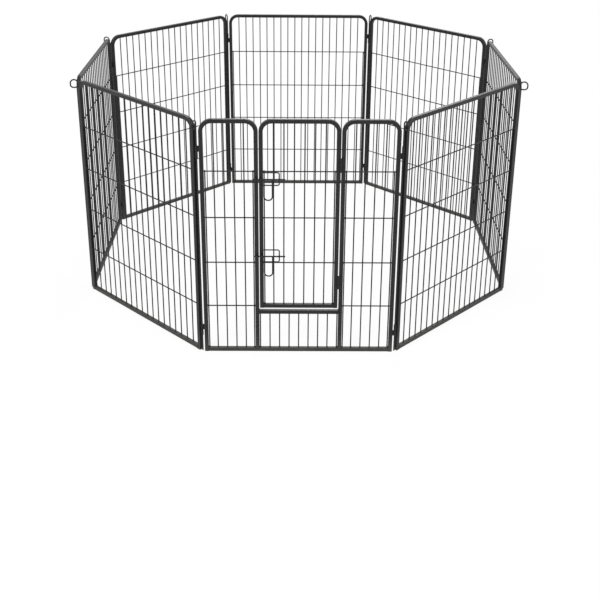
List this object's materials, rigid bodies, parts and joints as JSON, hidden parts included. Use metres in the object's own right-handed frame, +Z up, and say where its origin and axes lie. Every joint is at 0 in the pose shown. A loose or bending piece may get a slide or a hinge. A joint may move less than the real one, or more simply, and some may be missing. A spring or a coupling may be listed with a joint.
{
  "type": "pet playpen",
  "caption": "Folding octagonal pet playpen of welded steel tube and wire panels joined by lift-out corner pins, with a hinged door closed by slide bolts.",
  "frame": {"origin": "centre of the pen on the floor", "axes": "+Z up, -Y out through the door panel, +X to the right of someone who stands outside facing the door"},
  "size_m": [1.9638, 1.9638, 1],
  "materials": {
    "frame_tube": "black hammered powder coat on square steel tube",
    "wire": "black powder coat on drawn wire",
    "sleeves": "black powder coat, worn where the pin runs",
    "corner_pins": "black coated steel rod",
    "hinges": "black powder coat",
    "latch": "black coated steel rod"
  },
  "bodies": {
    "door_panel": {"left_section_frame": "frame_tube", "right_section_frame": "frame_tube", "door_panel_rails": "frame_tube", "door_panel_upright_wires": "wire", "door_panel_cross_wires": "wire", "door_panel_pin_sleeves": "sleeves", "door_hinge_jamb_knuckles": "hinges", "door_hinge_pins": "hinges", "latch_keepers": "latch"},
    "door": {"door_frame": "frame_tube", "door_bottom_rail": "frame_tube", "door_upright_wires": "wire", "door_cross_wires": "wire", "door_hinge_knuckles": "hinges", "latch_staples": "latch"},
    "upper_bolt": {"upper_bolt": "latch"},
    "lower_bolt": {"lower_bolt": "latch"},
    "panel_2": {"panel_2_frame": "frame_tube", "panel_2_bottom_rail": "frame_tube", "panel_2_upright_wires": "wire", "panel_2_cross_wires": "wire", "panel_2_pin_sleeves": "sleeves"},
    "panel_3": {"panel_3_frame": "frame_tube", "panel_3_bottom_rail": "frame_tube", "panel_3_upright_wires": "wire", "panel_3_cross_wires": "wire", "panel_3_pin_sleeves": "sleeves"},
    "panel_4": {"panel_4_frame": "frame_tube", "panel_4_bottom_rail": "frame_tube", "panel_4_upright_wires": "wire", "panel_4_cross_wires": "wire", "panel_4_pin_sleeves": "sleeves"},
    "panel_5": {"panel_5_frame": "frame_tube", "panel_5_bottom_rail": "frame_tube", "panel_5_upright_wires": "wire", "panel_5_cross_wires": "wire", "panel_5_pin_sleeves": "sleeves"},
    "panel_6": {"panel_6_frame": "frame_tube", "panel_6_bottom_rail": "frame_tube", "panel_6_upright_wires": "wire", "panel_6_cross_wires": "wire", "panel_6_pin_sleeves": "sleeves"},
    "panel_7": {"panel_7_frame": "frame_tube", "panel_7_bottom_rail": "frame_tube", "panel_7_upright_wires": "wire", "panel_7_cross_wires": "wire", "panel_7_pin_sleeves": "sleeves"},
    "panel_8": {"panel_8_frame": "frame_tube", "panel_8_bottom_rail": "frame_tube", "panel_8_upright_wires": "wire", "panel_8_cross_wires": "wire", "panel_8_pin_sleeves": "sleeves"},
    "corner_pin_1": {"corner_pin_1": "corner_pins"},
    "corner_pin_2": {"corner_pin_2": "corner_pins"},
    "corner_pin_3": {"corner_pin_3": "corner_pins"},
    "corner_pin_4": {"corner_pin_4": "corner_pins"},
    "corner_pin_5": {"corner_pin_5": "corner_pins"},
    "corner_pin_6": {"corner_pin_6": "corner_pins"},
    "corner_pin_7": {"corner_pin_7": "corner_pins"},
    "corner_pin_8": {"corner_pin_8": "corner_pins"}
  },
  "joints": [
    {"name": "fold_panel_2", "type": "hinge", "parent": "door_panel", "child": "panel_2", "pos_m": [0.394, -0.9512, 0.5], "axis": [0, 0, 1], "range_deg": [-45, 45]},
    {"name": "fold_panel_3", "type": "hinge", "parent": "panel_2", "child": "panel_3", "pos_m": [0.9512, -0.394, 0.5], "axis": [0, 0, 1], "range_deg": [-45, 45]},
    {"name": "fold_panel_4", "type": "hinge", "parent": "panel_3", "child": "panel_4", "pos_m": [0.9512, 0.394, 0.5], "axis": [0, 0, 1], "range_deg": [-45, 45]},
    {"name": "fold_panel_5", "type": "hinge", "parent": "panel_4", "child": "panel_5", "pos_m": [0.394, 0.9512, 0.5], "axis": [0, 0, 1], "range_deg": [-45, 45]},
    {"name": "fold_panel_8", "type": "hinge", "parent": "door_panel", "child": "panel_8", "pos_m": [-0.394, -0.9512, 0.5], "axis": [0, 0, 1], "range_deg": [-45, 45]},
    {"name": "fold_panel_7", "type": "hinge", "parent": "panel_8", "child": "panel_7", "pos_m": [-0.9512, -0.394, 0.5], "axis": [0, 0, 1], "range_deg": [-45, 45]},
    {"name": "fold_panel_6", "type": "hinge", "parent": "panel_7", "child": "panel_6", "pos_m": [-0.9512, 0.394, 0.5], "axis": [0, 0, 1], "range_deg": [-45, 45]},
    {"name": "door_swing", "type": "hinge", "parent": "door_panel", "child": "door", "pos_m": [0.158, -0.9648, 0.5], "axis": [0, 0, 1], "range_deg": [0, 110]},
    {"name": "upper_bolt_slide", "type": "slide", "parent": "door", "child": "upper_bolt", "axis": [1, 0, 0], "range_m": [0, 0.02]},
    {"name": "lower_bolt_slide", "type": "slide", "parent": "door", "child": "lower_bolt", "axis": [1, 0, 0], "range_m": [0, 0.02]},
    {"name": "corner_pin_1_lift", "type": "slide", "parent": "door_panel", "child": "corner_pin_1", "axis": [0, 0, 1], "range_m": [0, 0.9]},
    {"name": "corner_pin_2_lift", "type": "slide", "parent": "door_panel", "child": "corner_pin_2", "axis": [0, 0, 1], "range_m": [0, 0.9]},
    {"name": "corner_pin_3_lift", "type": "slide", "parent": "panel_2", "child": "corner_pin_3", "axis": [0, 0, 1], "range_m": [0, 0.9]},
    {"name": "corner_pin_4_lift", "type": "slide", "parent": "panel_3", "child": "corner_pin_4", "axis": [0, 0, 1], "range_m": [0, 0.9]},
    {"name": "corner_pin_5_lift", "type": "slide", "parent": "panel_4", "child": "corner_pin_5", "axis": [0, 0, 1], "range_m": [0, 0.9]},
    {"name": "corner_pin_6_lift", "type": "slide", "parent": "panel_6", "child": "corner_pin_6", "axis": [0, 0, 1], "range_m": [0, 0.9]},
    {"name": "corner_pin_7_lift", "type": "slide", "parent": "panel_7", "child": "corner_pin_7", "axis": [0, 0, 1], "range_m": [0, 0.9]},
    {"name": "corner_pin_8_lift", "type": "slide", "parent": "panel_8", "child": "corner_pin_8", "axis": [0, 0, 1], "range_m": [0, 0.9]}
  ],
  "couplings": [
    {"joint": "fold_panel_3", "follows": "fold_panel_2", "ratio": -1},
    {"joint": "fold_panel_4", "follows": "fold_panel_2", "ratio": 1},
    {"joint": "fold_panel_5", "follows": "fold_panel_2", "ratio": -1},
    {"joint": "fold_panel_8", "follows": "fold_panel_2", "ratio": 1},
    {"joint": "fold_panel_7", "follows": "fold_panel_2", "ratio": -1},
    {"joint": "fold_panel_6", "follows": "fold_panel_2", "ratio": 1}
  ]
}
